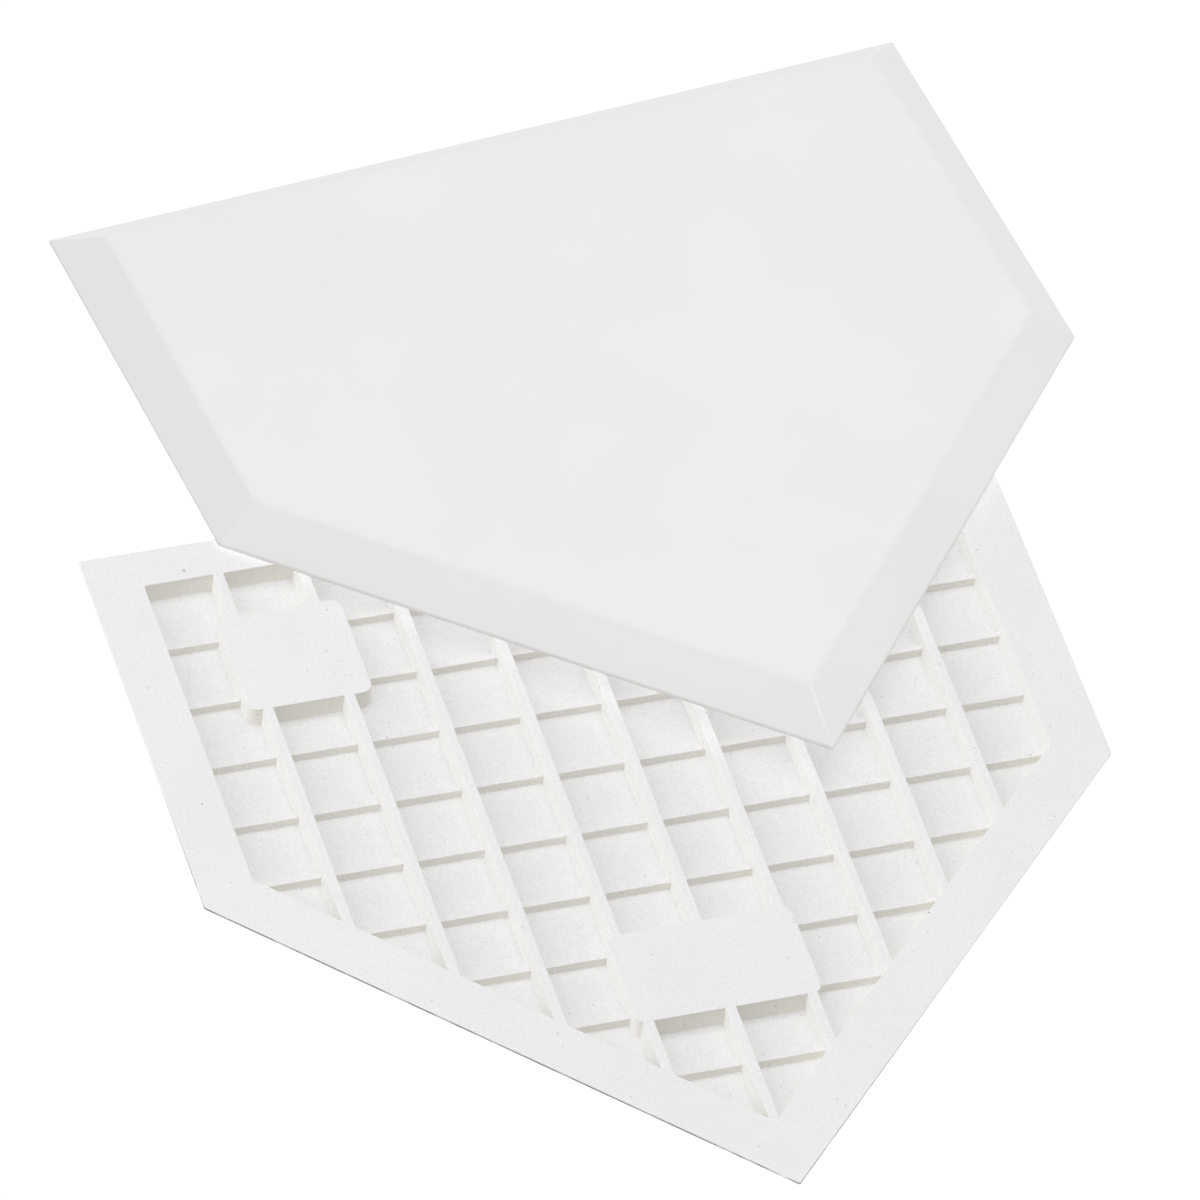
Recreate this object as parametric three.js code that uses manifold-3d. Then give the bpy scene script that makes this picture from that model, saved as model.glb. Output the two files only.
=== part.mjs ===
// A pair of white rubber home plates: one lies turned over, and one leans on it, face up.
// Millimetres, +Z up. A plate is modelled turned over, with its playing face on z = 0, its waffle side up,
// the middle of its back edge at x = y = 0 and its point towards -Y.

import * as THREE from 'three';
import { ConvexGeometry } from 'three/addons/geometries/ConvexGeometry.js';
import { mergeVertices } from 'three/addons/utils/BufferGeometryUtils.js';
import Module from 'manifold-3d';

const wasm = await Module();
wasm.setup();

// Outline and section of a plate
const plateWidth = 431.8;
const sideLength = 215.9;
const frontLength = 304.8;
const thickness = 15.9;
const lipHeight = 1.5;
const bevelInset = 20;
const pocketDepth = 10.5;

// Flat rim around the waffle
const sideRim = 26;
const frontRim = 26.5;
const backRim = 21.2;

// Long ribs run from back to front, as high as the rim. They are evenly spread between the side cells.
const longRibCount = 9;
const longRibTop = 4.8;
const longRibRoot = 5.6;
const sideCellWidth = 35.3;

// Cross ribs run from side to side, less than half as high. They are evenly spread between the end cells.
const crossRibCount = 9;
const crossRibThickness = 3;
const crossRibHeight = 4.3;
const rearCellLength = 34;
const pointCellLength = 41.5;

// Two flat pads in the waffle, level with the rim
const rearPadWidth = 59;
const rearPadLength = 58;
const rearPadFromSide = 26.5;
const rearPadFromBack = 26.8;
const frontPadWidth = 88;
const frontPadLength = 52.5;
const frontPadFromPoint = 69;
const padCornerRadius = 5;
const padFaceThickness = 2.2;

// Where the upper plate lies on the turned one: its front corners are behind the turned plate's back edge
const frontCornersBehind = 15.1;
const upperShift = 43;
const upperTurn = THREE.MathUtils.degToRad(5.75);

// Gap that is left between neighbouring pieces
const seam = 0.3;

// How far a cutting shape reaches past what it cuts
const overshoot = 5;

// Steps of a pad's round corner
const padCornerSteps = 5;

const plateLength = sideLength + Math.sqrt(frontLength ** 2 - (plateWidth / 2) ** 2);
const panelThickness = thickness - pocketDepth;
const ribFoot = panelThickness + seam;
const crossRibTop = panelThickness + crossRibHeight;
const padUnderside = thickness - padFaceThickness;
const upperBehind = sideLength + frontCornersBehind;

// Corners of the outline, counterclockwise from the back left. Edge i runs from corner i to the next one.
const corners = [
  new THREE.Vector2(-plateWidth / 2, 0),
  new THREE.Vector2(-plateWidth / 2, -sideLength),
  new THREE.Vector2(0, -plateLength),
  new THREE.Vector2(plateWidth / 2, -sideLength),
  new THREE.Vector2(plateWidth / 2, 0),
];
const rims = [sideRim, frontRim, frontRim, sideRim, backRim];

const faceRubber = new THREE.MeshStandardMaterial({ color: 0xecebea, roughness: 0.55, metalness: 0 });
const edgeRubber = new THREE.MeshStandardMaterial({ color: 0xe7e6e4, roughness: 0.6, metalness: 0 });
const ribRubber = new THREE.MeshStandardMaterial({ color: 0xeeede9, roughness: 0.8, metalness: 0 });

// Solids for cutting and joining

function toSolid(geometry) {
  const bare = geometry.clone();
  bare.deleteAttribute('normal');
  bare.deleteAttribute('uv');
  const merged = mergeVertices(bare);
  return new wasm.Manifold(new wasm.Mesh({
    numProp: 3,
    vertProperties: new Float32Array(merged.attributes.position.array),
    triVerts: new Uint32Array(merged.index.array),
  }));
}

// A notch close to the rim can cut a loose sliver off a rib's sloped side
function withoutSlivers(solid) {
  const bodies = solid.decompose();
  return bodies.reduce((largest, body) => (body.volume() > largest.volume() ? body : largest));
}

function toGeometry(solid) {
  const mesh = solid.getMesh();
  const shared = new THREE.BufferGeometry();
  shared.setAttribute('position', new THREE.BufferAttribute(mesh.vertProperties, 3));
  shared.setIndex(new THREE.BufferAttribute(mesh.triVerts, 1));
  const geometry = shared.toNonIndexed();
  geometry.computeVertexNormals();
  return geometry;
}

function prism(outline, bottom, top) {
  const shape = new THREE.Shape(outline);
  return new THREE.ExtrudeGeometry(shape, { depth: top - bottom, bevelEnabled: false })
    .translate(0, 0, bottom);
}

function block(width, length, x, y, bottom, top) {
  return new THREE.BoxGeometry(width, length, top - bottom).translate(x, y, (bottom + top) / 2);
}

// The outline with each edge moved inwards by its own inset
function insetOutline(insets) {
  const normals = corners.map((corner, i) => {
    const along = corners[(i + 1) % corners.length].clone().sub(corner).normalize();
    return new THREE.Vector2(-along.y, along.x);
  });
  return corners.map((corner, i) => {
    const before = (i + corners.length - 1) % corners.length;
    const [a, b] = [normals[before], normals[i]];
    const [p, q] = [a.dot(corner) + insets[before], b.dot(corner) + insets[i]];
    const cross = a.cross(b);
    return new THREE.Vector2((p * b.y - q * a.y) / cross, (q * a.x - p * b.x) / cross);
  });
}

function evenInset(inset) {
  return insetOutline(corners.map(() => inset));
}

// The space inside the rim, which holds the ribs and pads, with a gap to its walls
const pocketOutline = insetOutline(rims);
const pocketPoint = pocketOutline[2].y;
const waffleSpace = toSolid(prism(insetOutline(rims.map((rim) => rim + seam)), 0, thickness));

function spread(first, last, count) {
  return Array.from({ length: count }, (_, i) => THREE.MathUtils.lerp(first, last, i / (count - 1)));
}

const outermostLongRib = plateWidth / 2 - sideRim - sideCellWidth;
const longRibPlaces = spread(-outermostLongRib, outermostLongRib, longRibCount);
const crossRibPlaces = spread(-backRim - rearCellLength, pocketPoint + pointCellLength, crossRibCount);

const pads = {
  rear: {
    width: rearPadWidth,
    length: rearPadLength,
    x: pocketOutline[0].x + rearPadFromSide + rearPadWidth / 2,
    y: -backRim - rearPadFromBack - rearPadLength / 2,
  },
  front: {
    width: frontPadWidth,
    length: frontPadLength,
    x: 0,
    y: pocketPoint + frontPadFromPoint + frontPadLength / 2,
  },
};

function facePanel() {
  return prism(evenInset(bevelInset), 0, panelThickness);
}

// The five edge bars are one bevelled ring, cut along the mitre lines at its corners.
// The ring's inner ledge is the face panel's seat.
function edgeBars() {
  const levels = [
    { inset: bevelInset, z: 0 },
    { inset: 0, z: thickness - lipHeight },
    { inset: 0, z: thickness },
  ];
  const rimPoints = levels.flatMap(({ inset, z }) => (
    evenInset(inset).map((point) => new THREE.Vector3(point.x, point.y, z))
  ));
  const ring = toSolid(new ConvexGeometry(rimPoints))
    .subtract(toSolid(prism(pocketOutline, -overshoot, thickness + overshoot)))
    .subtract(toSolid(prism(evenInset(bevelInset - seam), -overshoot, ribFoot)));
  return corners.map((_, i) => toGeometry(ring.intersect(mitredSector(i))));
}

// The part of the ring that belongs to one edge, with half a gap at both mitres
function mitredSector(edge) {
  const next = (edge + 1) % corners.length;
  const inner = evenInset(Math.max(...rims) + overshoot);
  const along = corners[next].clone().sub(corners[edge]).normalize();
  const shifted = (corner, sign) => {
    const mitre = inner[corner].clone().sub(corners[corner]).normalize();
    const step = along.clone().multiplyScalar(sign * seam / 2 / Math.abs(along.cross(mitre)));
    const outside = corners[corner].clone().addScaledVector(mitre, -overshoot);
    return [outside.add(step), inner[corner].clone().add(step)];
  };
  const [startOutside, startInside] = shifted(edge, 1);
  const [endOutside, endInside] = shifted(next, -1);
  const sector = [startOutside, endOutside, endInside, startInside];
  return toSolid(prism(sector, -overshoot, thickness + overshoot));
}

function crossRib(y) {
  const bar = block(plateWidth, crossRibThickness, 0, y, ribFoot, crossRibTop);
  return toGeometry(toSolid(bar).intersect(waffleSpace));
}

// A long rib has sloped sides. It passes over the cross ribs and under the pads' faces.
function longRib(x) {
  const section = [
    new THREE.Vector2(-longRibRoot / 2, ribFoot),
    new THREE.Vector2(longRibRoot / 2, ribFoot),
    new THREE.Vector2(longRibTop / 2, thickness),
    new THREE.Vector2(-longRibTop / 2, thickness),
  ];
  const bar = prism(section, 0, plateLength).rotateX(Math.PI / 2).translate(x, 0, 0);
  let rib = toSolid(bar).intersect(waffleSpace);
  for (const y of crossRibPlaces) {
    const notchWidth = crossRibThickness + 2 * seam;
    const acrossRib = longRibRoot + 2 * overshoot;
    rib = rib.subtract(toSolid(block(acrossRib, notchWidth, x, y, 0, crossRibTop + seam)));
  }
  for (const pad of Object.values(pads)) {
    const [width, length] = [pad.width + 2 * seam, pad.length + 2 * seam];
    const room = block(width, length, pad.x, pad.y, padUnderside - seam, thickness + overshoot);
    rib = rib.subtract(toSolid(room));
  }
  return toGeometry(withoutSlivers(rib));
}

function roundedRectangle(width, length, radius) {
  const [x, y] = [width / 2 - radius, length / 2 - radius];
  const shape = new THREE.Shape();
  shape.absarc(x, y, radius, 0, Math.PI / 2);
  shape.absarc(-x, y, radius, Math.PI / 2, Math.PI);
  shape.absarc(-x, -y, radius, Math.PI, 1.5 * Math.PI);
  shape.absarc(x, -y, radius, 1.5 * Math.PI, 2 * Math.PI);
  return shape;
}

// A pad is a full-height block with slots on its underside for the ribs that run through it
function padBlock(pad) {
  const outline = roundedRectangle(pad.width, pad.length, padCornerRadius);
  const body = new THREE.ExtrudeGeometry(outline, {
    depth: thickness - ribFoot,
    bevelEnabled: false,
    curveSegments: padCornerSteps,
  });
  let solid = toSolid(body.translate(pad.x, pad.y, ribFoot));
  for (const x of longRibPlaces) {
    const slotWidth = longRibRoot + 2 * seam;
    const slotLength = pad.length + 2 * overshoot;
    solid = solid.subtract(toSolid(block(slotWidth, slotLength, x, pad.y, 0, padUnderside)));
  }
  for (const y of crossRibPlaces) {
    const slotWidth = crossRibThickness + 2 * seam;
    const slotLength = pad.width + 2 * overshoot;
    solid = solid.subtract(toSolid(block(slotLength, slotWidth, pad.x, y, 0, crossRibTop + seam)));
  }
  return toGeometry(solid);
}

// Every piece of a plate, with the names of its sides as they lie in the pair
function plate(prefix, minusXSide, plusXSide) {
  const group = new THREE.Group();
  const add = (name, geometry, material) => {
    const mesh = new THREE.Mesh(geometry, material);
    mesh.name = `${prefix}_${name}`;
    group.add(mesh);
  };
  const edgeNames = [minusXSide, `${minusXSide}_front`, `${plusXSide}_front`, plusXSide, 'back'];
  add('face_panel', facePanel(), faceRubber);
  edgeBars().forEach((bar, i) => add(`${edgeNames[i]}_edge`, bar, edgeRubber));
  longRibPlaces.forEach((x, i) => add(`long_rib_${i + 1}`, longRib(x), ribRubber));
  crossRibPlaces.forEach((y, i) => add(`cross_rib_${i + 1}`, crossRib(y), ribRubber));
  Object.entries(pads).forEach(([name, pad]) => add(`${name}_pad`, padBlock(pad), ribRubber));
  return group;
}

// The turned plate lies on its face. The upper plate is face up, and leans back over the turned plate's back
// edge until its rearmost corner is down on the floor.
const lowerPlate = plate('lower', 'left', 'right');

const upperPlate = plate('upper', 'right', 'left');
upperPlate.rotation.y = Math.PI;
upperPlate.position.z = thickness;

const upperPlace = new THREE.Group();
upperPlace.position.set(upperShift, upperBehind, 0);
upperPlace.rotation.z = upperTurn;
upperPlace.add(upperPlate);

const rearReach = upperBehind + (plateWidth / 2) * Math.abs(Math.sin(upperTurn));
const leaning = new THREE.Group();
leaning.position.z = thickness + seam;
leaning.rotation.x = -Math.asin(thickness / rearReach);
leaning.add(upperPlace);

// The pair's origin is on the floor, under the middle of the turned plate
const pair = new THREE.Group();
pair.position.y = plateLength / 2;
pair.add(lowerPlate, leaning);

export default pair;
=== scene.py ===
import math

import bmesh
import bpy
from mathutils import Matrix, Vector, noise


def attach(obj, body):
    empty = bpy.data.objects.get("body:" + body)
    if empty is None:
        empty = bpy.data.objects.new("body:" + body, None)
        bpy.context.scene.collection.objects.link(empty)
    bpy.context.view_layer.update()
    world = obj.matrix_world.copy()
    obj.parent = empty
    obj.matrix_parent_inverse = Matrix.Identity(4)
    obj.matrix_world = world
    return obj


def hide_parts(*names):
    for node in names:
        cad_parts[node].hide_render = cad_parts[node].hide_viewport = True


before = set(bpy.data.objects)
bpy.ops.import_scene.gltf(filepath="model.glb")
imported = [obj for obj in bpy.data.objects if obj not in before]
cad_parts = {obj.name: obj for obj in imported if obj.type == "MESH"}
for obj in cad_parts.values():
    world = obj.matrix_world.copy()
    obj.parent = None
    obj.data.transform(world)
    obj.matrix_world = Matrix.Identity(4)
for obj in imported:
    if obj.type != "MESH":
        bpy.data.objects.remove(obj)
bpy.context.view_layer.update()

# Sizes of a plate, in millimetres. A plate is shaped turned over: its playing face on z = 0, its waffle side
# up, the middle of its back edge at x = y = 0 and its point towards -Y.
PLATE_WIDTH = 431.8
SIDE_LENGTH = 215.9
FRONT_LENGTH = 304.8
THICKNESS = 15.9
LIP_HEIGHT = 1.5
BEVEL_INSET = 20.0
POCKET_DEPTH = 10.5
SIDE_RIM = 26.0
FRONT_RIM = 26.5
BACK_RIM = 21.2

LONG_RIBS = 9
LONG_RIB_TOP = 4.8
LONG_RIB_ROOT = 5.6
SIDE_CELL = 35.3
CROSS_RIBS = 9
CROSS_RIB_TOP = 3.0
CROSS_RIB_ROOT = 3.4
CROSS_RIB_HEIGHT = 4.3
REAR_CELL = 34.0
POINT_CELL = 41.5

REAR_PAD = (59.0, 58.0)
REAR_PAD_FROM_SIDE = 26.5
REAR_PAD_FROM_BACK = 26.8
FRONT_PAD = (88.0, 52.5)
FRONT_PAD_FROM_POINT = 69.0
PAD_CORNER = 5.0

# How the upper plate lies on the turned one
FRONT_CORNERS_BEHIND = 15.1
UPPER_SHIFT = 43.0
UPPER_TURN = math.radians(5.75)
RESTING_GAP = 0.3

# Roundings and drafts of the moulding
CORNER_STEPS = 5
OUTER_CORNER = 1.0
FACE_CORNER = 0.9
POCKET_CORNER = 1.2
POCKET_FOOT_CORNER = 3.2
FACE_STRIP = 1.0
FACE_ARRIS = 0.4
BEVEL_FOOT_ARRIS = 0.9
LIP_ARRIS = 0.5
POCKET_ARRIS = 0.25
POCKET_DRAFT = 1.0
POCKET_FILLET = 0.7
FLOOR_STRIP = 0.6
LONG_RIB_ARRIS = 0.3
LONG_RIB_FILLET = 0.6
CROSS_RIB_ARRIS = 0.2
CROSS_RIB_FILLET = 0.3
PAD_ARRIS = 0.3
PAD_DRAFT = 0.5
PAD_FILLET = 0.6

# Steps of the roundings, and the distance between a rib's points along it
ARRIS_STEPS = 3
BEVEL_FOOT_STEPS = 4
FILLET_STEPS = 6
PAD_FILLET_STEPS = 5
RIB_STEP = 5.0

# Ribs run into the rim by this much. The feet of ribs and pads have a skirt that sinks into the floor of the
# pocket. The long ribs stay a hair lower than the rim and the pads that cover their ends.
BURIED_END = 4.0
FOOT_SKIRT = 1.0
FOOT_SINK = 0.02
FOOT_DEPTH = 0.6
RIB_BELOW_RIM = 0.08

# The unevenness of the ribs: how far a point drifts, the share of that in height, and the reach of one swell.
# Without a seed, the pattern would follow the clock and change from run to run.
RIB_DRIFT = 0.2
DRIFT_IN_HEIGHT = 0.25
DRIFT_REACH = 14.0
DRIFT_SEED = 17
noise.seed_set(DRIFT_SEED)

# Edges sharper than this stay sharp in the shading, and large faces lead the small ones by this weight
SHARP_ANGLE = math.radians(40)
LARGE_FACE_WEIGHT = 100

# Places of the finishes in the list that a piece carries: the face and the edge carry several, and ribs and
# pads carry one
SATIN_FACE, GRAINED, SATIN_BEVEL, LIP = 0, 1, 2, 3
GRAINED_ONLY = 0

# Loops are stacked this far apart while they are joined into a skin
STACK_STEP = 1000.0

MM = 0.001
HALF_WIDTH = PLATE_WIDTH / 2
POINT_DEPTH = math.sqrt(FRONT_LENGTH**2 - HALF_WIDTH**2)
PLATE_LENGTH = SIDE_LENGTH + POINT_DEPTH
FLOOR = THICKNESS - POCKET_DEPTH
FOOT = FLOOR - FOOT_SINK
POCKET_POINT = -PLATE_LENGTH + FRONT_RIM * FRONT_LENGTH / HALF_WIDTH
POCKET_HALF_WIDTH = HALF_WIDTH - SIDE_RIM

OUTLINE = [
    Vector((-HALF_WIDTH, 0)),
    Vector((-HALF_WIDTH, -SIDE_LENGTH)),
    Vector((0, -PLATE_LENGTH)),
    Vector((HALF_WIDTH, -SIDE_LENGTH)),
    Vector((HALF_WIDTH, 0)),
]
EDGES = ["left_edge", "left_front_edge", "right_front_edge", "right_edge", "back_edge"]
RIMS = [SIDE_RIM, FRONT_RIM, FRONT_RIM, SIDE_RIM, BACK_RIM]
BEVELS = [BEVEL_INSET] * len(EDGES)


def evenly(first, last, count):
    return [first + (last - first) * i / (count - 1) for i in range(count)]


LONG_RIB_PLACES = evenly(SIDE_CELL - POCKET_HALF_WIDTH, POCKET_HALF_WIDTH - SIDE_CELL, LONG_RIBS)
CROSS_RIB_PLACES = evenly(-BACK_RIM - REAR_CELL, POCKET_POINT + POINT_CELL, CROSS_RIBS)


def inset_outline(insets):
    """The plate's five corners, with each edge moved inwards by its own inset."""
    lines = []
    for corner, following in zip(OUTLINE, OUTLINE[1:] + OUTLINE[:1]):
        along = (following - corner).normalized()
        inward = Vector((-along.y, along.x))
        lines.append((inward, inward.dot(corner)))
    points = []
    for i in range(len(OUTLINE)):
        (a, p), (b, q) = lines[i - 1], lines[i]
        p += insets[i - 1]
        q += insets[i]
        across = a.x * b.y - a.y * b.x
        points.append(Vector(((p * b.y - q * a.y) / across, (q * a.x - p * b.x) / across)))
    return points


# Shaping

def rounded_loop(bm, corners, rounding, height):
    """A closed loop of edges through these corners, each rounded in the same number of steps."""
    known = set(bm.edges)
    verts = [bm.verts.new((x, y, height)) for x, y in corners]
    bm.faces.new(verts)
    bmesh.ops.bevel(bm, geom=verts, affect="VERTICES", offset=rounding, segments=CORNER_STEPS,
                    profile=0.5, material=-1)
    loop = [e for e in bm.edges if e not in known]
    bmesh.ops.delete(bm, geom=list({f for e in loop for f in e.link_faces}), context="FACES_ONLY")
    return loop


def skin(bm, levels, closed=False):
    """A skin through loops, each given by its corners, rounding, height and the finish up to the next one.
    The loops are stacked far apart while they are joined, and then each moves to its height."""
    loops = [rounded_loop(bm, corners, rounding, i * STACK_STEP)
             for i, (corners, rounding, _, _) in enumerate(levels)]
    pairs = list(zip(loops, loops[1:] + loops[:1], levels))
    for loop, following, (_, _, _, finish) in pairs if closed else pairs[:-1]:
        for face in bmesh.ops.bridge_loops(bm, edges=loop + following)["faces"]:
            face.material_index = finish
    for i, (loop, (_, _, height, _)) in enumerate(zip(loops, levels)):
        verts = list({v for e in loop for v in e.verts})
        bmesh.ops.translate(bm, verts=verts, vec=(0, 0, height - i * STACK_STEP))
    return loops


def cap(bm, loop, finish=GRAINED_ONLY):
    for face in bmesh.ops.edgeloop_fill(bm, edges=loop)["faces"]:
        face.material_index = finish


def round_edges(bm, edges, size, steps):
    bmesh.ops.bevel(bm, geom=edges, affect="EDGES", offset=size, segments=steps, profile=0.5,
                    material=-1)


def outward(bm):
    bmesh.ops.recalc_face_normals(bm, faces=bm.faces)


def mould_drift(bm):
    """The small unevenness of a rubber moulding: each point drifts a little with its neighbours."""
    for vert in bm.verts:
        drift = noise.noise_vector(vert.co / DRIFT_REACH)
        vert.co += Vector((drift.x, drift.y, DRIFT_IN_HEIGHT * drift.z)) * RIB_DRIFT


# The playing face and the bevelled edge meet on the face, a little inside the bevel, and on the pocket's floor.
FACE_SEAM = (inset_outline([bevel + FACE_STRIP for bevel in BEVELS]), FACE_CORNER, 0, SATIN_FACE)
FLOOR_SEAM = (inset_outline([rim + POCKET_DRAFT + POCKET_FILLET + FLOOR_STRIP for rim in RIMS]),
              POCKET_FOOT_CORNER, FLOOR, GRAINED)


def playing_face():
    """The slab between the playing face and the floor of the pocket."""
    bm = bmesh.new()
    below, above = skin(bm, [FACE_SEAM, FLOOR_SEAM])
    cap(bm, below, SATIN_FACE)
    cap(bm, above, GRAINED)
    outward(bm)
    return bm


def bevelled_edge():
    """One ring: a strip of the face, the bevel, the lip, the rim and the wall of the pocket."""
    bm = bmesh.new()
    _, face_edge, lip_foot, lip_top, pocket_edge, pocket_foot, _ = skin(bm, [
        FACE_SEAM,
        (inset_outline(BEVELS), FACE_CORNER, 0, SATIN_BEVEL),
        (OUTLINE, OUTER_CORNER, THICKNESS - LIP_HEIGHT, LIP),
        (OUTLINE, OUTER_CORNER, THICKNESS, GRAINED),
        (inset_outline(RIMS), POCKET_CORNER, THICKNESS, GRAINED),
        (inset_outline([rim + POCKET_DRAFT for rim in RIMS]), POCKET_FOOT_CORNER, FLOOR, GRAINED),
        FLOOR_SEAM,
    ], closed=True)
    round_edges(bm, face_edge, FACE_ARRIS, ARRIS_STEPS)
    round_edges(bm, lip_foot, BEVEL_FOOT_ARRIS, BEVEL_FOOT_STEPS)
    round_edges(bm, lip_top, LIP_ARRIS, ARRIS_STEPS)
    round_edges(bm, pocket_edge, POCKET_ARRIS, ARRIS_STEPS)
    round_edges(bm, pocket_foot, POCKET_FILLET, FILLET_STEPS)
    outward(bm)
    return bm


def trim_to_rim(bm):
    """Cut a rib off inside the rim, along each of the pocket's five sides."""
    corners = inset_outline([rim - BURIED_END for rim in RIMS])
    for corner, following in zip(corners, corners[1:] + corners[:1]):
        along = following - corner
        cut = bmesh.ops.bisect_plane(bm, geom=bm.verts[:] + bm.edges[:] + bm.faces[:],
                                     plane_co=(corner.x, corner.y, 0), plane_no=(along.y, -along.x, 0),
                                     clear_outer=True)["geom_cut"]
        end = [g for g in cut if isinstance(g, bmesh.types.BMEdge)]
        if end:
            cap(bm, end)


def rib(half_top, half_root, top, arris, fillet, length, place):
    """A rib along Y, with sloped sides that run out into the floor in a fillet. It is put in its place, and its
    ends are trimmed."""
    bm = bmesh.new()
    half_foot = half_root + fillet + FOOT_SKIRT
    section = [(half_top, top), (half_root, FOOT), (half_foot, FOOT - FOOT_SINK),
               (half_foot, FOOT - FOOT_DEPTH)]
    section = section + [(-x, z) for x, z in reversed(section)]
    verts = [bm.verts.new((x, 0, z)) for x, z in section]
    bm.faces.new(verts)
    tops = [verts[0], verts[-1]]
    roots = [verts[1], verts[-2]]
    bmesh.ops.bevel(bm, geom=tops, affect="VERTICES", offset=arris, segments=ARRIS_STEPS, profile=0.5,
                    material=-1)
    bmesh.ops.bevel(bm, geom=roots, affect="VERTICES", offset=fillet, segments=FILLET_STEPS, profile=0.5,
                    material=-1)
    pushed = bmesh.ops.extrude_face_region(bm, geom=list(bm.faces))["geom"]
    moved = [g for g in pushed if isinstance(g, bmesh.types.BMVert)]
    bmesh.ops.translate(bm, verts=moved, vec=(0, -length, 0))
    lengthwise = [e for e in bm.edges if abs(e.verts[0].co.y - e.verts[1].co.y) > length / 2]
    bmesh.ops.subdivide_edges(bm, edges=lengthwise, cuts=round(length / RIB_STEP))
    bmesh.ops.transform(bm, verts=bm.verts, matrix=place)
    trim_to_rim(bm)
    outward(bm)
    mould_drift(bm)
    return bm


def long_rib(x):
    return rib(LONG_RIB_TOP / 2, LONG_RIB_ROOT / 2, THICKNESS - RIB_BELOW_RIM, LONG_RIB_ARRIS,
               LONG_RIB_FILLET, PLATE_LENGTH, Matrix.Translation((x, 0, 0)))


def cross_rib(y):
    place = Matrix.Translation((-HALF_WIDTH, y, 0)) @ Matrix.Rotation(math.pi / 2, 4, "Z")
    return rib(CROSS_RIB_TOP / 2, CROSS_RIB_ROOT / 2, FLOOR + CROSS_RIB_HEIGHT, CROSS_RIB_ARRIS,
               CROSS_RIB_FILLET, PLATE_WIDTH, place)


def pad(x, y, width, length):
    """A flat block with round corners, level with the rim, whose sides run out into the floor in a fillet."""
    bm = bmesh.new()

    def level(grow, height):
        across, along = width / 2 + grow, length / 2 + grow
        corners = [(x - across, y - along), (x + across, y - along),
                   (x + across, y + along), (x - across, y + along)]
        return corners, PAD_CORNER + grow, height, GRAINED_ONLY

    skirt = PAD_DRAFT + PAD_FILLET + FOOT_SKIRT
    bottom, _, foot, top = skin(bm, [
        level(skirt, FOOT - FOOT_DEPTH),
        level(skirt, FOOT - FOOT_SINK),
        level(PAD_DRAFT, FOOT),
        level(0, THICKNESS),
    ])
    cap(bm, bottom)
    cap(bm, top)
    round_edges(bm, foot, PAD_FILLET, PAD_FILLET_STEPS)
    round_edges(bm, top, PAD_ARRIS, ARRIS_STEPS)
    outward(bm)
    return bm


def rear_pad():
    width, length = REAR_PAD
    x = -POCKET_HALF_WIDTH + REAR_PAD_FROM_SIDE + width / 2
    return pad(x, -BACK_RIM - REAR_PAD_FROM_BACK - length / 2, width, length)


def front_pad():
    width, length = FRONT_PAD
    return pad(0, POCKET_POINT + FRONT_PAD_FROM_POINT + length / 2, width, length)


# Finishes

WHITE = (1, 1, 1, 1)
RUBBER_SPECULAR = 0.35
GRAIN_STRENGTH = 0.6

# Broad swells lie under the fine grain: their share of its number to a metre, and of its height
SWELL_NUMBER = 0.33
SWELL_HEIGHT = 0.45

# On the waffle side the floor of the pocket is a little duller than the rim. Walls that face left or right are
# painted paler, as painted light from the side lamps, and walls that face the front or the back are painted
# creamier, as the warm tint of painted shade.
POCKET_TONE = (0.845, 0.84, 0.829, 1)
PAINTED_WALL_LIGHT_AND_SHADE = {"side_walls_painted_light": (0.975, 0.965, 0.94, 1), "front_walls_painted_shade": (0.95, 0.925, 0.862, 1)}

# The waffle side's faint cool patches and its flecks: number to a metre, and wash
COOL_PATCHES = 320
COOL_WASH = (0.985, 0.99, 1.0, 1)
FLECKS_TO_METRE = 1000
FLECK_WASH = (0.87, 0.87, 0.865, 1)

# Specks of dirt on the waffle side: cells to a metre, share of the cells, size in a cell and tone
DIRT = [(420, 0.06, 0.3, (0.68, 0.67, 0.66, 1)), (230, 0.015, 0.18, (0.45, 0.42, 0.38, 1))]

# Painted shadow on the turned plate's lip: a dark line along the left front edge
PAINTED_SHADOW_SPOT = (-0.12, -0.1, 0.0159)
PAINTED_SHADOW_FULL = 0.14
PAINTED_SHADOW_GONE = 0.23
PAINTED_SHADOW_TONE = (0.33, 0.29, 0.26, 1)


def add(tree, kind, **settings):
    """A new node. A setting goes to the input of that name, or else to the node itself."""
    node = tree.nodes.new(kind)
    for name, value in settings.items():
        if isinstance(value, (int, float, tuple)) and name in node.inputs:
            node.inputs[name].default_value = value
        else:
            setattr(node, name, value)
    return node


def ranged(tree, ends, **settings):
    """A node that maps one range of values to another, with the ends of the ranges given by name."""
    node = add(tree, "ShaderNodeMapRange", **settings)
    for name, value in ends.items():
        node.inputs[name].default_value = value
    return node


def counted(tree, operation, second=None):
    """A sum on values, with its second value given where no node puts it out."""
    node = add(tree, "ShaderNodeMath", operation=operation)
    if second is not None:
        node.inputs[1].default_value = second
    return node


def wire(tree, *links):
    """Join nodes. A link is a node and its output, and another node and its input."""
    for source, output, target, entry in links:
        tree.links.new(source.outputs[output], target.inputs[entry])


def group(name, inputs, outputs):
    """A new group, with the node for what it is given and the node for what it puts out."""
    tree = bpy.data.node_groups.new(name, "ShaderNodeTree")
    for label, kind, value in inputs:
        socket = tree.interface.new_socket(label, in_out="INPUT", socket_type=kind)
        if value is not None:
            socket.default_value = value
    for label, kind in outputs:
        tree.interface.new_socket(label, in_out="OUTPUT", socket_type=kind)
    return tree, add(tree, "NodeGroupInput"), add(tree, "NodeGroupOutput")


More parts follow.
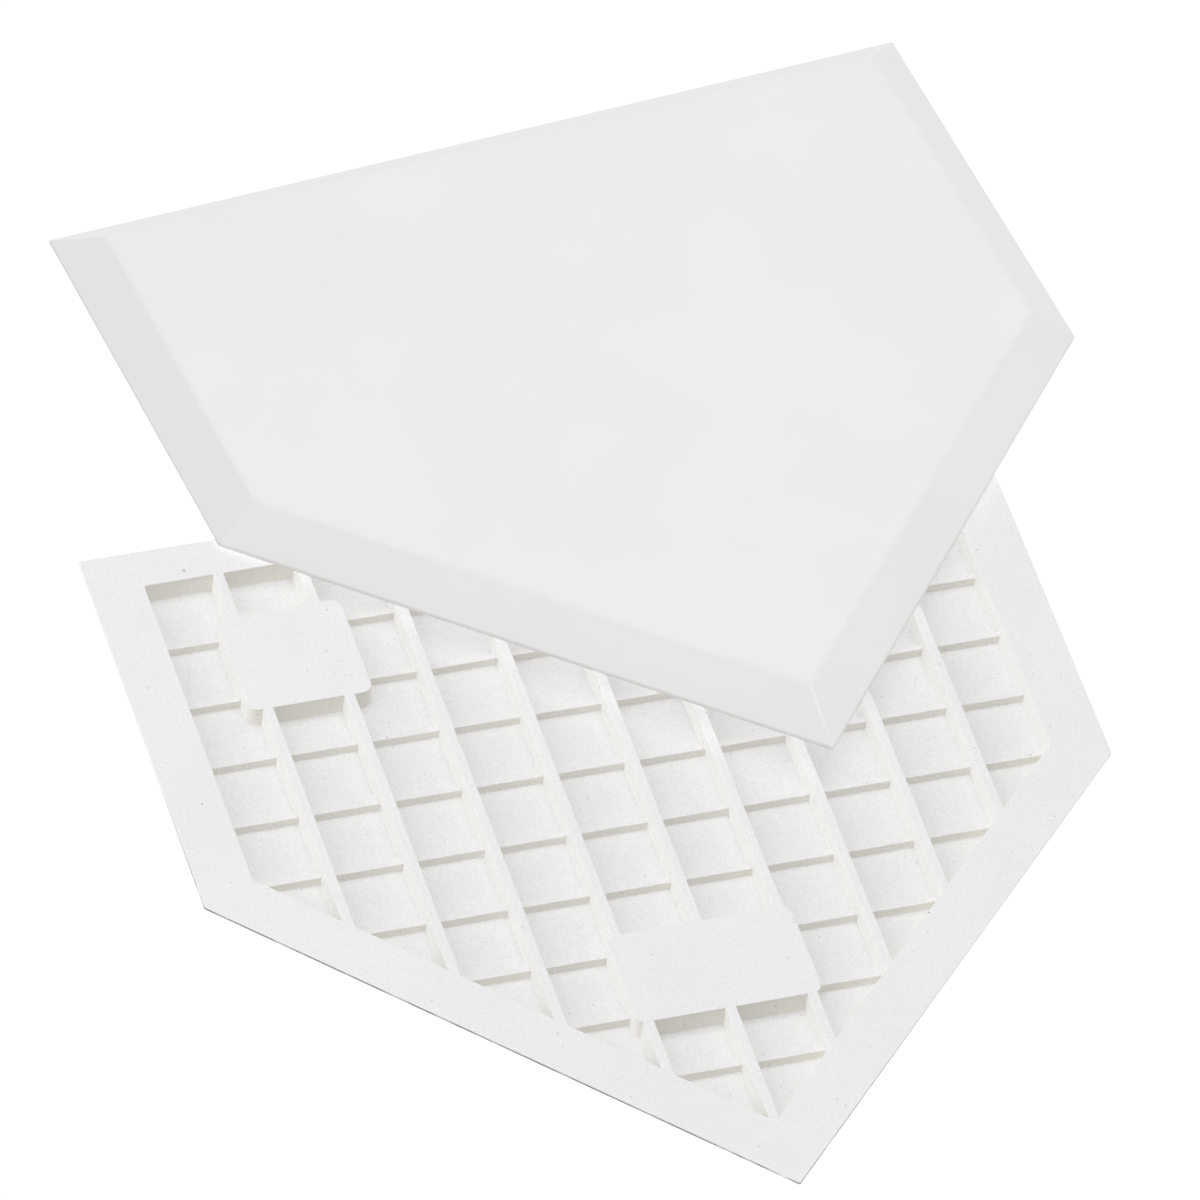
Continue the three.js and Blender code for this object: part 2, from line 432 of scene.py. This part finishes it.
def soft_mottle_group():
    """Faint cloudy patches, as light and dark parts of a pale moulding."""
    tree, given, put = group(
        "soft_mottle",
        [("Place", "NodeSocketVector", None), ("Patches", "NodeSocketFloat", 9.0)],
        [("Tone", "NodeSocketFloat")])
    patches = add(tree, "ShaderNodeTexNoise", Detail=3.0, Roughness=0.55)
    spread = ranged(tree, {"From Min": 0.32, "From Max": 0.68}, interpolation_type="SMOOTHSTEP")
    wire(tree,
         (given, "Place", patches, "Vector"),
         (given, "Patches", patches, "Scale"),
         (patches, "Fac", spread, "Value"),
         (spread, "Result", put, "Tone"))
    return tree


def moulded_grain_group():
    """The fine grain that a mould's skin leaves on rubber, as a height."""
    tree, given, put = group(
        "moulded_grain",
        [("Place", "NodeSocketVector", None), ("Grains", "NodeSocketFloat", 900.0)],
        [("Height", "NodeSocketFloat")])
    grains = add(tree, "ShaderNodeTexNoise", Detail=2.0, Roughness=0.6)
    fewer = counted(tree, "MULTIPLY", SWELL_NUMBER)
    swells = add(tree, "ShaderNodeTexNoise", Detail=1.0)
    both = counted(tree, "MULTIPLY_ADD", SWELL_HEIGHT)
    wire(tree,
         (given, "Place", grains, "Vector"),
         (given, "Place", swells, "Vector"),
         (given, "Grains", grains, "Scale"),
         (given, "Grains", fewer, 0),
         (fewer, "Value", swells, "Scale"),
         (swells, "Fac", both, 0),
         (grains, "Fac", both, 2),
         (both, "Value", put, "Height"))
    return tree


def dirt_specks_group():
    """Sparse specks of dirt: small dots in a few of the cells of a pattern."""
    tree, given, put = group(
        "dirt_specks",
        [("Place", "NodeSocketVector", None), ("Cells", "NodeSocketFloat", 120.0),
         ("Share", "NodeSocketFloat", 0.06), ("Size", "NodeSocketFloat", 0.05)],
        [("Mask", "NodeSocketFloat")])
    cells = add(tree, "ShaderNodeTexVoronoi", feature="F1")
    parts = add(tree, "ShaderNodeSeparateColor")
    chosen = counted(tree, "LESS_THAN")
    size = counted(tree, "MULTIPLY")
    dot = counted(tree, "LESS_THAN")
    both = counted(tree, "MULTIPLY")
    wire(tree,
         (given, "Place", cells, "Vector"),
         (given, "Cells", cells, "Scale"),
         (cells, "Color", parts, "Color"),
         (parts, "Red", chosen, 0),
         (given, "Share", chosen, 1),
         (parts, "Green", size, 0),
         (given, "Size", size, 1),
         (cells, "Distance", dot, 0),
         (size, "Value", dot, 1),
         (chosen, "Value", both, 0),
         (dot, "Value", both, 1),
         (both, "Value", put, "Mask"))
    return tree


def fine_flecks_group():
    """The salt-and-pepper tone of grained rubber, from 0 to 1."""
    tree, given, put = group(
        "fine_flecks",
        [("Place", "NodeSocketVector", None), ("Flecks", "NodeSocketFloat", 1000.0)],
        [("Tone", "NodeSocketFloat")])
    flecks = add(tree, "ShaderNodeTexNoise", Detail=3.0, Roughness=0.7)
    spread = ranged(tree, {"From Min": 0.3, "From Max": 0.7})
    wire(tree,
         (given, "Place", flecks, "Vector"),
         (given, "Flecks", flecks, "Scale"),
         (flecks, "Fac", spread, "Value"),
         (spread, "Result", put, "Tone"))
    return tree


def painted_lip_shadow_group():
    """A painted shadow around one spot, broken up in clots: full as far as one distance from it, and gone at
    another.
    """
    tree, given, put = group(
        "painted_lip_shadow",
        [("Place", "NodeSocketVector", None), ("Spot", "NodeSocketVector", None),
         ("Thick", "NodeSocketFloat", 0.1), ("Gone", "NodeSocketFloat", 0.2)],
        [("Mask", "NodeSocketFloat")])
    apart = add(tree, "ShaderNodeVectorMath", operation="DISTANCE")
    fade = ranged(tree, {"To Min": 1.0, "To Max": 0.0}, interpolation_type="SMOOTHSTEP")
    clots = add(tree, "ShaderNodeTexNoise", Scale=60.0, Detail=3.0)
    uneven = ranged(tree, {"From Min": 0.2, "From Max": 0.5})
    both = counted(tree, "MULTIPLY")
    wire(tree,
         (given, "Place", apart, 0),
         (given, "Spot", apart, 1),
         (apart, "Value", fade, "Value"),
         (given, "Thick", fade, "From Min"),
         (given, "Gone", fade, "From Max"),
         (given, "Place", clots, "Vector"),
         (clots, "Fac", uneven, "Value"),
         (fade, "Result", both, 0),
         (uneven, "Result", both, 1),
         (both, "Value", put, "Mask"))
    return tree


MOTTLE = soft_mottle_group()
GRAIN = moulded_grain_group()
SPECKS = dirt_specks_group()
FLECKS = fine_flecks_group()
LIP_SHADOW = painted_lip_shadow_group()


def effect(tree, kind, where, **values):
    """A group placed in a material, with its own values."""
    node = add(tree, "ShaderNodeGroup")
    node.node_tree = kind
    for name, value in values.items():
        node.inputs[name].default_value = value
    wire(tree, (where, "Object", node, "Place"))
    return node


def colours(sockets):
    return [socket for socket in sockets if socket.type == "RGBA"]


def toned(tree, factor, first, second):
    """A mix of two colours, or of a colour and what another node puts out."""
    mix = add(tree, "ShaderNodeMix", data_type="RGBA")
    tree.links.new(factor, mix.inputs["Factor"])
    for socket, colour in zip(colours(mix.inputs), (first, second)):
        if isinstance(colour, tuple):
            socket.default_value = colour
        else:
            tree.links.new(colour, socket)
    return colours(mix.outputs)[0]


def washed(tree, colour, tone, wash):
    """A colour that takes on a wash where the tone is 0, and is left as it is where the tone is 1."""
    mix = add(tree, "ShaderNodeMix", data_type="RGBA", blend_type="MULTIPLY", Factor=1.0)
    first, second = colours(mix.inputs)
    tree.links.new(colour, first)
    tree.links.new(toned(tree, tone, wash, WHITE), second)
    return colours(mix.outputs)[0]


def waffle_colour(tree, where, colour):
    """The colour of the waffle side: the floor's tone, painted light on side walls and painted shade on front
    walls, cool patches, flecks and specks of dirt.
    """
    depth = add(tree, "ShaderNodeAttribute", attribute_name="depth")
    colour = toned(tree, depth.outputs["Fac"], colour, POCKET_TONE)
    # Side walls are painted paler as painted light, and front walls creamier as painted shade
    for walls, tone in PAINTED_WALL_LIGHT_AND_SHADE.items():
        painted_wall_mask = add(tree, "ShaderNodeAttribute", attribute_name=walls)
        colour = toned(tree, painted_wall_mask.outputs["Fac"], colour, tone)
    cool = effect(tree, MOTTLE, where, Patches=COOL_PATCHES)
    colour = washed(tree, colour, cool.outputs["Tone"], COOL_WASH)
    flecks = effect(tree, FLECKS, where, Flecks=FLECKS_TO_METRE)
    colour = washed(tree, colour, flecks.outputs["Tone"], FLECK_WASH)
    for cells, share, size, tone in DIRT:
        dirt = effect(tree, SPECKS, where, Cells=cells, Share=share, Size=size)
        colour = toned(tree, dirt.outputs["Mask"], colour, tone)
    return colour


def rubber(name, pale, dim, patches, grains, grain_depth, smooth, rough, waffle=False, painted_shadow_on=False):
    """White rubber in cloudy patches, from dim and smooth to pale and rough, with the grain of its mould."""
    material = bpy.data.materials.new(name)
    material.use_nodes = True
    tree = material.node_tree
    shader = tree.nodes["Principled BSDF"]
    shader.inputs["Specular IOR Level"].default_value = RUBBER_SPECULAR
    where = add(tree, "ShaderNodeTexCoord")
    mottle = effect(tree, MOTTLE, where, Patches=patches)
    colour = toned(tree, mottle.outputs["Tone"], dim, pale)
    if waffle:
        colour = waffle_colour(tree, where, colour)
    # A painted shadow darkens the lip around one spot
    if painted_shadow_on:
        painted_shadow = effect(tree, LIP_SHADOW, where, Spot=PAINTED_SHADOW_SPOT, Thick=PAINTED_SHADOW_FULL, Gone=PAINTED_SHADOW_GONE)
        colour = toned(tree, painted_shadow.outputs["Mask"], colour, PAINTED_SHADOW_TONE)
    tree.links.new(colour, shader.inputs["Base Color"])
    sheen = ranged(tree, {"To Min": smooth, "To Max": rough})
    grain = effect(tree, GRAIN, where, Grains=grains)
    bump = add(tree, "ShaderNodeBump", Distance=grain_depth, Strength=GRAIN_STRENGTH)
    wire(tree,
         (mottle, "Tone", sheen, "Value"),
         (sheen, "Result", shader, "Roughness"),
         (grain, "Height", bump, "Height"),
         (bump, "Normal", shader, "Normal"))
    return material


# Patches and grains are counted to a metre, and the grain's depth is in metres.
SATIN_GRAIN = {"grains": 700, "grain_depth": 0.00003}
# The bevel's tones are paler than the face's: painted light on the sloped bevel, which gets less of the light
# from above
PAINTED_LIGHT_BEVEL_TONES = {"pale": (0.86, 0.852, 0.846, 1), "dim": (0.847, 0.835, 0.831, 1)}
FACE_RUBBER = rubber("satin_face_rubber", pale=(0.827, 0.825, 0.822, 1), dim=(0.823, 0.81, 0.816, 1),
                     patches=12, smooth=0.42, rough=0.5, **SATIN_GRAIN)
BEVEL_RUBBER = rubber("satin_bevel_rubber_painted_lighter", patches=9, smooth=0.45, rough=0.55, **PAINTED_LIGHT_BEVEL_TONES, **SATIN_GRAIN)
# The upper plate's lip is painted paler than the bevel, as painted light on a lip that the lamps barely reach
PAINTED_LIGHT_LIP_RUBBER = rubber("lip_rubber_painted_lighter", pale=(0.95, 0.943, 0.938, 1), dim=(0.94, 0.93, 0.926, 1),
                          patches=9, smooth=0.45, rough=0.55, **SATIN_GRAIN)
PAINTED_SHADOW_LIP_RUBBER = rubber("lip_rubber_painted_shadow", patches=9, smooth=0.6, rough=0.7, painted_shadow_on=True,
                           **PAINTED_LIGHT_BEVEL_TONES, **SATIN_GRAIN)
WAFFLE_RUBBER = rubber("grained_waffle_rubber", pale=(0.892, 0.881, 0.884, 1), dim=(0.876, 0.864, 0.866, 1),
                       patches=14, grains=1100, grain_depth=0.00012, smooth=0.68, rough=0.85, waffle=True)
# The turned plate's lip carries a painted shadow, and the upper plate's lip is painted paler, as painted light
LIP_RUBBER = {"lower": PAINTED_SHADOW_LIP_RUBBER, "upper": PAINTED_LIGHT_LIP_RUBBER}


# The pair of plates. The turned one lies flat. The upper one is turned over from there, and leans on the turned
# one's back edge with its own back corner on the floor.

UPPER_BEHIND = SIDE_LENGTH + FRONT_CORNERS_BEHIND
REAR_REACH = UPPER_BEHIND + HALF_WIDTH * abs(math.sin(UPPER_TURN))
LEAN = math.asin(THICKNESS / REAR_REACH)
TO_METRES = Matrix.Scale(MM, 4)
MIDDLE = Matrix.Translation((0, PLATE_LENGTH / 2, 0))
PLACES = {
    "lower": TO_METRES @ MIDDLE,
    "upper": (
        TO_METRES @ MIDDLE
        @ Matrix.Translation((0, 0, THICKNESS + RESTING_GAP))
        @ Matrix.Rotation(-LEAN, 4, "X")
        @ Matrix.Translation((UPPER_SHIFT, UPPER_BEHIND, 0))
        @ Matrix.Rotation(UPPER_TURN, 4, "Z")
        @ Matrix.Translation((0, 0, THICKNESS))
        @ Matrix.Rotation(math.pi, 4, "Y")
    ),
}
PLATE_PIECES = {plate: [] for plate in PLACES}


def mark_surface(bm):
    """Note how deep each point lies in the pocket, and how far each face is a side wall or a front wall: the
    masks for the painted light on side walls and the painted shade on front walls.
    """
    bm.normal_update()
    depth = bm.verts.layers.float.new("depth")
    for vert in bm.verts:
        vert[depth] = min(max((THICKNESS - vert.co.z) / POCKET_DEPTH, 0), 1)
    side_walls_painted_light = bm.faces.layers.float.new("side_walls_painted_light")
    front_walls_painted_shade = bm.faces.layers.float.new("front_walls_painted_shade")
    for face in bm.faces:
        steepness = 1 - abs(face.normal.z)
        face[side_walls_painted_light] = steepness * abs(face.normal.x)
        face[front_walls_painted_shade] = steepness * abs(face.normal.y)


def finish_piece(plate, name, bm, materials, nodes):
    """A piece of a plate, in its place and with its finishes, that stands for these nodes of the CAD model."""
    mesh = bpy.data.meshes.new(f"{plate}_{name}")
    mark_surface(bm)
    bm.transform(PLACES[plate])
    bm.to_mesh(mesh)
    bm.free()
    mesh.shade_smooth()
    mesh.set_sharp_from_angle(angle=SHARP_ANGLE)
    for material in materials:
        mesh.materials.append(material)
    piece = bpy.data.objects.new(f"{plate}_{name}", mesh)
    bpy.context.scene.collection.objects.link(piece)
    PLATE_PIECES[plate].append(piece)
    even = piece.modifiers.new("even_shading", "WEIGHTED_NORMAL")
    even.keep_sharp = True
    even.weight = LARGE_FACE_WEIGHT
    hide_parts(*[f"{plate}_{node}" for node in nodes])
    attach(piece, f"{plate}_plate")


for plate in PLACES:
    finish_piece(plate, "playing_face", playing_face(), [FACE_RUBBER, WAFFLE_RUBBER],
                 ["face_panel"])
    finish_piece(plate, "bevelled_edge", bevelled_edge(),
                 [FACE_RUBBER, WAFFLE_RUBBER, BEVEL_RUBBER, LIP_RUBBER[plate]], EDGES)
    for i, x in enumerate(LONG_RIB_PLACES, 1):
        finish_piece(plate, f"lengthwise_rib_{i}", long_rib(x), [WAFFLE_RUBBER],
                     [f"long_rib_{i}"])
    for i, y in enumerate(CROSS_RIB_PLACES, 1):
        finish_piece(plate, f"crosswise_rib_{i}", cross_rib(y), [WAFFLE_RUBBER],
                     [f"cross_rib_{i}"])
    finish_piece(plate, "plain_rear_pad", rear_pad(), [WAFFLE_RUBBER], ["rear_pad"])
    finish_piece(plate, "plain_front_pad", front_pad(), [WAFFLE_RUBBER], ["front_pad"])


# Floor, light and camera, in metres and watts

PALE_FLOOR_REACH = 60
PALE_FLOOR_DROP = 0.0001
PALE_FLOOR_TONE = (0.97, 0.97, 0.97, 1)
PALE_FLOOR_ROUGHNESS = 0.9
PALE_FLOOR_SPECULAR = 0.1
FLOOR_WASH = 2.55
TENT_LEVEL = 0.232
CAMERA_REACH = 100


def pale_floor():
    """A plain floor, a hair below the turned plate."""
    bm = bmesh.new()
    bmesh.ops.create_grid(bm, x_segments=1, y_segments=1, size=PALE_FLOOR_REACH)
    bmesh.ops.translate(bm, verts=bm.verts, vec=(0, 0, -PALE_FLOOR_DROP))
    mesh = bpy.data.meshes.new("pale_floor")
    bm.to_mesh(mesh)
    bm.free()
    material = bpy.data.materials.new("pale_floor")
    material.use_nodes = True
    shader = material.node_tree.nodes["Principled BSDF"]
    shader.inputs["Base Color"].default_value = PALE_FLOOR_TONE
    shader.inputs["Roughness"].default_value = PALE_FLOOR_ROUGHNESS
    shader.inputs["Specular IOR Level"].default_value = PALE_FLOOR_SPECULAR
    mesh.materials.append(material)
    floor = bpy.data.objects.new("pale_floor", mesh)
    bpy.context.scene.collection.objects.link(floor)
    return floor


def light_tent(level):
    """Soft light from all round. The camera sees the tent as plain white."""
    world = bpy.data.worlds.new("light_tent")
    world.use_nodes = True
    tree = world.node_tree
    tree.nodes.clear()
    glow = add(tree, "ShaderNodeBackground", Color=(level, level, level, 1))
    backdrop = add(tree, "ShaderNodeBackground", Color=WHITE)
    rays = add(tree, "ShaderNodeLightPath")
    mix = add(tree, "ShaderNodeMixShader")
    out = add(tree, "ShaderNodeOutputWorld")
    wire(tree,
         (rays, "Is Camera Ray", mix, "Fac"),
         (glow, "Background", mix, 1),
         (backdrop, "Background", mix, 2),
         (mix, "Shader", out, "Surface"))
    bpy.context.scene.world = world


def lamp(name, kind, power, lights, shaded_by):
    """A lamp that lights these objects alone, and is shaded by these alone."""
    light = bpy.data.lights.new(name, kind)
    light.energy = power
    shown = bpy.data.objects.new(name, light)
    bpy.context.scene.collection.objects.link(shown)
    linking = shown.light_linking
    linking.receiver_collection = bpy.data.collections.new(name + "_lights")
    for lit in lights:
        linking.receiver_collection.objects.link(lit)
    linking.blocker_collection = bpy.data.collections.new(name + "_shaded_by")
    for shade in shaded_by:
        linking.blocker_collection.objects.link(shade)
    return shown


def softbox(name, stand, power, width, lights, shaded_by):
    """A large square lamp that faces the plates."""
    box = lamp(name, "AREA", power, lights, shaded_by)
    box.data.size = width
    box.location = stand
    box.rotation_euler = (-Vector(stand)).to_track_quat("-Z", "Y").to_euler()


def camera(aim, distance, azimuth, elevation, roll, lens):
    """A camera that looks at one point from this distance and angle."""
    seen = bpy.data.cameras.new("photo_camera")
    seen.lens = lens
    seen.clip_end = CAMERA_REACH
    eye = bpy.data.objects.new("photo_camera", seen)
    turn = (Matrix.Rotation(-azimuth, 4, "Z") @ Matrix.Rotation(math.pi / 2 - elevation, 4, "X")
            @ Matrix.Rotation(roll, 4, "Z"))
    back = turn @ Vector((0, 0, distance))
    eye.matrix_world = Matrix.Translation(Vector(aim) + back) @ turn
    bpy.context.scene.collection.objects.link(eye)
    bpy.context.scene.camera = eye


floor = pale_floor()
light_tent(TENT_LEVEL)
lamp("floor_wash", "SUN", FLOOR_WASH, [floor], [floor])

# The photo is put together from two pictures with different light, so each plate has lamps of its own.
upper, lower = PLATE_PIECES["upper"], PLATE_PIECES["lower"]

# The upper plate is lit from above, with a little light from behind on its back bevel and from below on its
# front lip.
softbox("upper_overhead_softbox", stand=(0.22, 0.2, 5.0), power=236, width=4.0, lights=upper, shaded_by=upper)
softbox("upper_back_softbox", stand=(0.2, 5.0, 0.9), power=14, width=3.0, lights=upper, shaded_by=upper)
softbox("upper_bounce_softbox", stand=(-1.75, -3.41, -3.21), power=18, width=2.0, lights=upper,
        shaded_by=upper)

# The turned plate is lit from above, left and right. The shading lamps share two of those places: the upper
# plate is in their way, which gives its faint shade. The fill lamp softens the shade inside the waffle.
overhead = {"stand": (0.1, 0.3, 5.0), "width": 4.0, "lights": lower}
left = {"stand": (-4.0, 0.0, 2.6), "width": 6.0, "lights": lower}
right = {"stand": (4.0, 0.0, 2.6), "width": 6.0, "lights": lower}
softbox("lower_overhead_softbox", power=78, shaded_by=lower, **overhead)
softbox("shading_softbox", power=55, shaded_by=lower + upper, **overhead)
softbox("left_softbox", power=98, shaded_by=lower, **left)
softbox("left_shading_softbox", power=46, shaded_by=lower + upper, **left)
softbox("left_fill_softbox", stand=(-4.4, 0.0, 1.2), power=25, width=4.0, lights=lower, shaded_by=[floor])
softbox("right_softbox", power=61, shaded_by=lower, **right)

# The photo's viewing angle
camera(aim=(0.01288, 0.1407, 0.0159), distance=7.384, azimuth=math.radians(21.69),
       elevation=math.radians(47.46), roll=math.radians(6.87), lens=482.1)
bpy.context.scene.view_settings.view_transform = "Standard"
